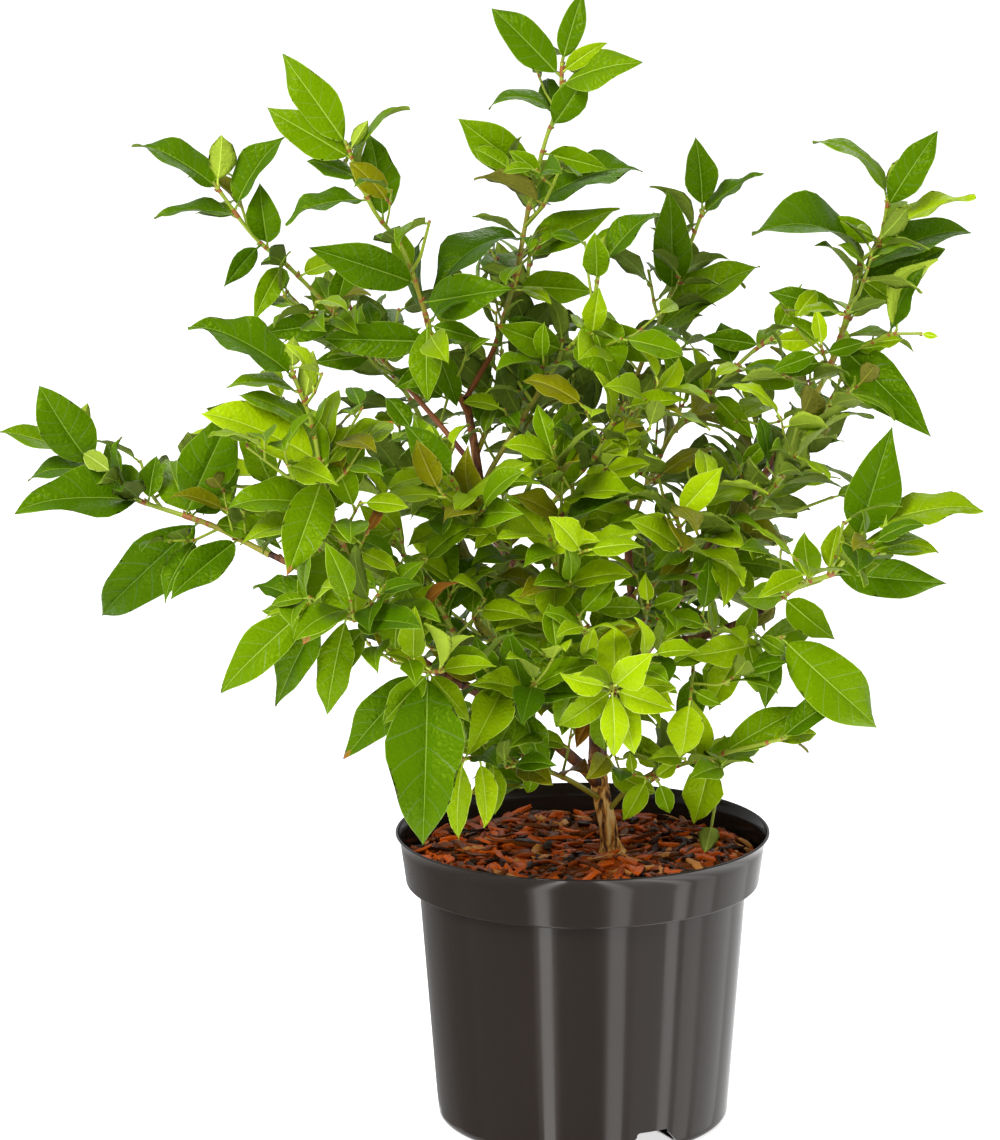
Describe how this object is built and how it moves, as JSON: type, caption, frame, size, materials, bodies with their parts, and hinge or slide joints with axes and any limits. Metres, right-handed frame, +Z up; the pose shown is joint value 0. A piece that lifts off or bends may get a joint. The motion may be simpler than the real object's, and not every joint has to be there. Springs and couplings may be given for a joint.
{
  "type": "potted blueberry bush",
  "caption": "Young blueberry bush in a round plastic nursery pot topped with bark mulch: short trunk, forked boughs and an open crown of leafy shoots.",
  "frame": {"origin": "middle of the flat underside of the pot, where it stands", "axes": "+Z up along the plant, -Y towards the front as pictured, +X to the viewer's right"},
  "size_m": [0.4815, 0.3691, 0.5725],
  "materials": {
    "pot": "semi-gloss dark warm grey",
    "compost": "rough reddish-brown bark chips over compost",
    "bark": "flaking tan and brown bark",
    "leaf": "fresh green leaf, satin"
  },
  "bodies": {
    "root": {"bough_back": "bark", "bough_back_left": "bark", "bough_back_right": "bark", "bough_centre": "bark", "bough_left_arm": "bark", "bough_left_front": "bark", "bough_right": "bark", "bough_right_arm": "bark", "compost": "compost", "foliage_back": "leaf", "foliage_back_left": "leaf", "foliage_back_left_low": "leaf", "foliage_back_low": "leaf", "foliage_back_low_left": "leaf", "foliage_back_right": "leaf", "foliage_back_tall": "leaf", "foliage_centre": "leaf", "foliage_crown_back": "leaf", "foliage_crown_centre": "leaf", "foliage_front": "leaf", "foliage_front_low": "leaf", "foliage_inner_left": "leaf", "foliage_leader": "leaf", "foliage_left_arm": "leaf", "foliage_left_back": "leaf", "foliage_left_centre": "leaf", "foliage_left_front": "leaf", "foliage_low_centre": "leaf", "foliage_low_front": "leaf", "foliage_low_left": "leaf", "foliage_low_right": "leaf", "foliage_middle": "leaf", "foliage_right_arm": "leaf", "foliage_right_back": "leaf", "foliage_right_centre": "leaf", "foliage_right_front": "leaf", "foliage_right_low": "leaf", "foliage_right_top": "leaf", "foliage_right_twig": "leaf", "foliage_top_left": "leaf", "foliage_upper_left": "leaf", "pot": "pot", "trunk": "bark"}
  },
  "joints": []
}
